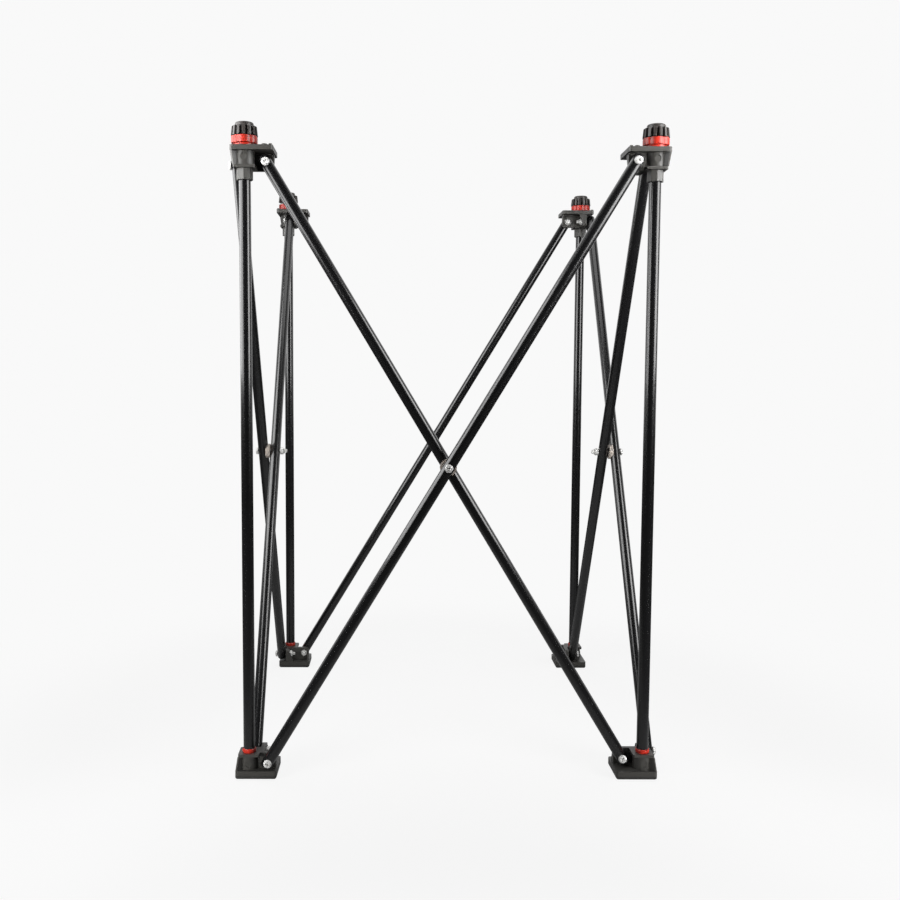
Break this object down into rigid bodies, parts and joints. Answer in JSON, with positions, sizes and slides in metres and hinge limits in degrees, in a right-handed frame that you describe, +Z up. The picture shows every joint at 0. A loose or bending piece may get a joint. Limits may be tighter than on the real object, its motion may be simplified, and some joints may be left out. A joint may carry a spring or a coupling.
{
  "type": "folding game board stand",
  "caption": "Folding four-sided scissor stand of black tube with levelling knobs on its posts, made to carry a square game board at table height.",
  "frame": {"origin": "on the floor, at the centre of the square of posts", "axes": "+Z up along the posts, +X to the right and +Y to the rear, both along the sides"},
  "size_m": [0.4726, 0.4726, 0.7052],
  "materials": {
    "tube": "satin black powder coat",
    "bracket": "moulded black plastic, fine texture",
    "collar": "moulded black plastic",
    "knob": "satin black plastic",
    "red_plastic": "satin red plastic",
    "zinc": "bright zinc plate",
    "sole": "matte black rubber",
    "spacer": "natural nylon"
  },
  "bodies": {
    "foot_fl": {"foot_bracket_fl": "bracket", "foot_bush_fl": "red_plastic", "foot_sole_fl": "sole", "foot_fasteners_fl": "zinc"},
    "foot_fr": {"foot_bracket_fr": "bracket", "foot_bush_fr": "red_plastic", "foot_sole_fr": "sole", "foot_fasteners_fr": "zinc"},
    "foot_rr": {"foot_bracket_rr": "bracket", "foot_bush_rr": "red_plastic", "foot_sole_rr": "sole", "foot_fasteners_rr": "zinc"},
    "foot_rl": {"foot_bracket_rl": "bracket", "foot_bush_rl": "red_plastic", "foot_sole_rl": "sole", "foot_fasteners_rl": "zinc"},
    "hub_fl": {"top_bracket_fl": "bracket", "post_fl": "tube", "post_collar_fl": "collar", "top_fasteners_fl": "zinc"},
    "hub_fr": {"top_bracket_fr": "bracket", "post_fr": "tube", "post_collar_fr": "collar", "top_fasteners_fr": "zinc"},
    "hub_rr": {"top_bracket_rr": "bracket", "post_rr": "tube", "post_collar_rr": "collar", "top_fasteners_rr": "zinc"},
    "hub_rl": {"top_bracket_rl": "bracket", "post_rl": "tube", "post_collar_rl": "collar", "top_fasteners_rl": "zinc"},
    "front_outer_bar": {"front_outer_bar": "tube", "front_mid_bolt": "zinc", "front_spacer": "spacer"},
    "front_inner_bar": {"front_inner_bar": "tube"},
    "right_outer_bar": {"right_outer_bar": "tube", "right_mid_bolt": "zinc", "right_spacer": "spacer"},
    "right_inner_bar": {"right_inner_bar": "tube"},
    "rear_outer_bar": {"rear_outer_bar": "tube", "rear_mid_bolt": "zinc", "rear_spacer": "spacer"},
    "rear_inner_bar": {"rear_inner_bar": "tube"},
    "left_outer_bar": {"left_outer_bar": "tube", "left_mid_bolt": "zinc", "left_spacer": "spacer"},
    "left_inner_bar": {"left_inner_bar": "tube"},
    "stud_fl": {"leveller_stud_fl": "zinc"},
    "knob_fl": {"leveller_knob_fl": "knob"},
    "lock_ring_fl": {"lock_ring_fl": "red_plastic"},
    "stud_fr": {"leveller_stud_fr": "zinc"},
    "knob_fr": {"leveller_knob_fr": "knob"},
    "lock_ring_fr": {"lock_ring_fr": "red_plastic"},
    "stud_rr": {"leveller_stud_rr": "zinc"},
    "knob_rr": {"leveller_knob_rr": "knob"},
    "lock_ring_rr": {"lock_ring_rr": "red_plastic"},
    "stud_rl": {"leveller_stud_rl": "zinc"},
    "knob_rl": {"leveller_knob_rl": "knob"},
    "lock_ring_rl": {"lock_ring_rl": "red_plastic"}
  },
  "joints": [
    {"name": "fold", "type": "hinge", "parent": "foot_fl", "child": "front_outer_bar", "pos_m": [-0.194, -0.2267, 0.0192], "axis": [0, -1, 0], "range_deg": [0, 29.6]},
    {"name": "front_cross", "type": "hinge", "parent": "front_outer_bar", "child": "front_inner_bar", "pos_m": [0, -0.2115, 0.3406], "axis": [0, -1, 0], "range_deg": [-59.3, 0]},
    {"name": "front_outer_top", "type": "hinge", "parent": "front_outer_bar", "child": "hub_fr", "pos_m": [0.194, -0.2267, 0.662], "axis": [0, -1, 0], "range_deg": [-29.7, 0]},
    {"name": "front_inner_top", "type": "hinge", "parent": "front_inner_bar", "child": "hub_fl", "pos_m": [-0.194, -0.2115, 0.662], "axis": [0, -1, 0], "range_deg": [0, 29.7]},
    {"name": "front_inner_bottom", "type": "hinge", "parent": "front_inner_bar", "child": "foot_fr", "pos_m": [0.194, -0.2115, 0.0192], "axis": [0, -1, 0], "range_deg": [0, 29.7]},
    {"name": "left_inner_bottom", "type": "hinge", "parent": "foot_fl", "child": "left_inner_bar", "pos_m": [-0.2115, -0.194, 0.0192], "axis": [-1, 0, 0], "range_deg": [-29.7, 0]},
    {"name": "left_cross", "type": "hinge", "parent": "left_inner_bar", "child": "left_outer_bar", "pos_m": [-0.2267, 0, 0.3406], "axis": [-1, 0, 0], "range_deg": [0, 59.3]},
    {"name": "left_inner_top", "type": "hinge", "parent": "left_inner_bar", "child": "hub_rl", "pos_m": [-0.2115, 0.194, 0.662], "axis": [-1, 0, 0], "range_deg": [0, 29.7]},
    {"name": "left_outer_bottom", "type": "hinge", "parent": "left_outer_bar", "child": "foot_rl", "pos_m": [-0.2267, 0.194, 0.0192], "axis": [-1, 0, 0], "range_deg": [-29.7, 0]},
    {"name": "right_outer_bottom", "type": "hinge", "parent": "foot_fr", "child": "right_outer_bar", "pos_m": [0.2267, -0.194, 0.0192], "axis": [1, 0, 0], "range_deg": [0, 29.7]},
    {"name": "right_cross", "type": "hinge", "parent": "right_outer_bar", "child": "right_inner_bar", "pos_m": [0.2115, 0, 0.3406], "axis": [1, 0, 0], "range_deg": [-59.3, 0]},
    {"name": "right_outer_top", "type": "hinge", "parent": "right_outer_bar", "child": "hub_rr", "pos_m": [0.2267, 0.194, 0.662], "axis": [1, 0, 0], "range_deg": [-29.7, 0]},
    {"name": "right_inner_bottom", "type": "hinge", "parent": "right_inner_bar", "child": "foot_rr", "pos_m": [0.2115, 0.194, 0.0192], "axis": [1, 0, 0], "range_deg": [0, 29.7]},
    {"name": "rear_inner_bottom", "type": "hinge", "parent": "foot_rl", "child": "rear_inner_bar", "pos_m": [-0.194, 0.2115, 0.0192], "axis": [0, 1, 0], "range_deg": [-29.7, 0]},
    {"name": "rear_cross", "type": "hinge", "parent": "rear_inner_bar", "child": "rear_outer_bar", "pos_m": [0, 0.2267, 0.3406], "axis": [0, 1, 0], "range_deg": [0, 59.3]},
    {"name": "leveller_rise_fl", "type": "slide", "parent": "hub_fl", "child": "stud_fl", "axis": [0, 0, 1], "range_m": [0, 0.012]},
    {"name": "leveller_turn_fl", "type": "hinge", "parent": "stud_fl", "child": "knob_fl", "pos_m": [-0.216, -0.216, 0.688], "axis": [0, 0, 1], "range_deg": [0, 3459]},
    {"name": "lock_ring_turn_fl", "type": "hinge", "parent": "hub_fl", "child": "lock_ring_fl", "pos_m": [-0.216, -0.216, 0.68], "axis": [0, 0, 1], "range_deg": [0, 180]},
    {"name": "leveller_rise_fr", "type": "slide", "parent": "hub_fr", "child": "stud_fr", "axis": [0, 0, 1], "range_m": [0, 0.012]},
    {"name": "leveller_turn_fr", "type": "hinge", "parent": "stud_fr", "child": "knob_fr", "pos_m": [0.216, -0.216, 0.688], "axis": [0, 0, 1], "range_deg": [0, 3459]},
    {"name": "lock_ring_turn_fr", "type": "hinge", "parent": "hub_fr", "child": "lock_ring_fr", "pos_m": [0.216, -0.216, 0.68], "axis": [0, 0, 1], "range_deg": [0, 180]},
    {"name": "leveller_rise_rr", "type": "slide", "parent": "hub_rr", "child": "stud_rr", "axis": [0, 0, 1], "range_m": [0, 0.012]},
    {"name": "leveller_turn_rr", "type": "hinge", "parent": "stud_rr", "child": "knob_rr", "pos_m": [0.216, 0.216, 0.688], "axis": [0, 0, 1], "range_deg": [0, 3459]},
    {"name": "lock_ring_turn_rr", "type": "hinge", "parent": "hub_rr", "child": "lock_ring_rr", "pos_m": [0.216, 0.216, 0.68], "axis": [0, 0, 1], "range_deg": [0, 180]},
    {"name": "leveller_rise_rl", "type": "slide", "parent": "hub_rl", "child": "stud_rl", "axis": [0, 0, 1], "range_m": [-0.003, 0.009]},
    {"name": "leveller_turn_rl", "type": "hinge", "parent": "stud_rl", "child": "knob_rl", "pos_m": [-0.216, 0.216, 0.688], "axis": [0, 0, 1], "range_deg": [-867, 2595]},
    {"name": "lock_ring_turn_rl", "type": "hinge", "parent": "hub_rl", "child": "lock_ring_rl", "pos_m": [-0.216, 0.216, 0.68], "axis": [0, 0, 1], "range_deg": [0, 180]}
  ],
  "couplings": [
    {"joint": "front_cross", "follows": "fold", "ratio": -2},
    {"joint": "front_outer_top", "follows": "fold", "ratio": -1},
    {"joint": "front_inner_top", "follows": "fold", "ratio": 1},
    {"joint": "front_inner_bottom", "follows": "fold", "ratio": 1},
    {"joint": "left_inner_bottom", "follows": "fold", "ratio": -1},
    {"joint": "left_cross", "follows": "fold", "ratio": 2},
    {"joint": "left_inner_top", "follows": "fold", "ratio": 1},
    {"joint": "left_outer_bottom", "follows": "fold", "ratio": -1},
    {"joint": "right_outer_bottom", "follows": "fold", "ratio": 1},
    {"joint": "right_cross", "follows": "fold", "ratio": -2},
    {"joint": "right_outer_top", "follows": "fold", "ratio": -1},
    {"joint": "right_inner_bottom", "follows": "fold", "ratio": 1},
    {"joint": "rear_inner_bottom", "follows": "fold", "ratio": -1},
    {"joint": "rear_cross", "follows": "fold", "ratio": 2},
    {"joint": "leveller_turn_fl", "follows": "leveller_rise_fl", "rad_per_m": 5026.5},
    {"joint": "leveller_turn_fr", "follows": "leveller_rise_fr", "rad_per_m": 5026.5},
    {"joint": "leveller_turn_rr", "follows": "leveller_rise_rr", "rad_per_m": 5026.5},
    {"joint": "leveller_turn_rl", "follows": "leveller_rise_rl", "rad_per_m": 5026.5}
  ]
}
